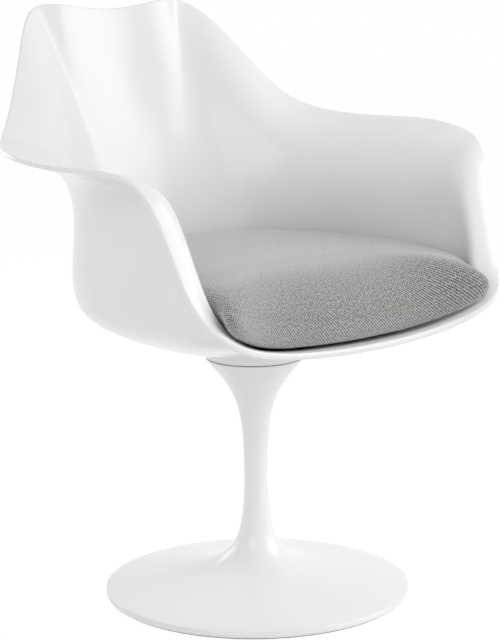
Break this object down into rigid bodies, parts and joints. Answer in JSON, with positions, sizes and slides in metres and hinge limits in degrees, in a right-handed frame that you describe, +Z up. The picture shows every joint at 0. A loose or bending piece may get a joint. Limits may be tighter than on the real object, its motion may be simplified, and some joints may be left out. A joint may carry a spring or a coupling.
{
  "type": "pedestal swivel armchair",
  "caption": "Moulded armchair seat with flared arms and a padded cushion, turning on a trumpet-shaped pedestal with a round disc foot.",
  "frame": {"origin": "centre of the round foot, on the floor", "axes": "+Z up the swivel axis, the sitter faces -Y, +X towards the sitter's left"},
  "size_m": [0.7014, 0.6111, 0.8129],
  "materials": {
    "coated_casting": "smooth gloss white powder coat over a casting",
    "glide_rubber": "matt dark grey",
    "nylon": "matt natural nylon",
    "bearing_steel": "ground and polished",
    "bright_steel": "turned",
    "zinc_steel": "zinc plated",
    "gloss_white": "gloss white gel coat on moulded glass-fibre plastic",
    "hook_tape": "matt nylon hooks",
    "loop_tape": "looped pile",
    "foam": "open-cell polyurethane foam",
    "woven_cloth": "flat grey weave, slightly green",
    "base_cloth": "plain grey lining cloth",
    "zip_cloth": "woven tape with coil teeth"
  },
  "bodies": {
    "pedestal": {"pedestal_casting": "coated_casting", "glide_ring": "glide_rubber", "bore_plug": "nylon", "upper_bush": "nylon", "lower_bush": "nylon", "thrust_race_lower": "bearing_steel"},
    "bearing_cage": {"ball_cage": "nylon", "ball_1": "bearing_steel", "ball_2": "bearing_steel", "ball_3": "bearing_steel", "ball_4": "bearing_steel", "ball_5": "bearing_steel", "ball_6": "bearing_steel", "ball_7": "bearing_steel", "ball_8": "bearing_steel", "ball_9": "bearing_steel", "ball_10": "bearing_steel", "ball_11": "bearing_steel", "ball_12": "bearing_steel"},
    "seat": {"thrust_race_upper": "bearing_steel", "spindle": "bright_steel", "swivel_plate": "bright_steel", "retaining_washer": "zinc_steel", "retaining_screw": "zinc_steel", "seat_hub": "gloss_white", "seat_shell": "gloss_white", "clamp_plate": "zinc_steel", "clamp_screw_1": "zinc_steel", "clamp_screw_2": "zinc_steel", "clamp_screw_3": "zinc_steel", "clamp_screw_4": "zinc_steel", "hook_ring": "hook_tape"},
    "cushion": {"loop_ring": "loop_tape", "cushion_foam": "foam", "cushion_cover": "woven_cloth", "cushion_base_cloth": "base_cloth", "zip_tape": "zip_cloth", "zip_slider": "zinc_steel"}
  },
  "joints": [
    {"name": "seat_swivel", "type": "hinge", "parent": "pedestal", "child": "seat", "pos_m": [0, 0, 0.33], "axis": [0, 0, 1], "continuous": true},
    {"name": "cage_turn", "type": "hinge", "parent": "pedestal", "child": "bearing_cage", "pos_m": [0, 0, 0.33], "axis": [0, 0, 1], "continuous": true},
    {"name": "cushion_lift", "type": "slide", "parent": "seat", "child": "cushion", "axis": [0, 0.2588, 0.9659], "range_m": [0, 0.026]}
  ],
  "couplings": [
    {"joint": "cage_turn", "follows": "seat_swivel", "ratio": 0.5}
  ]
}
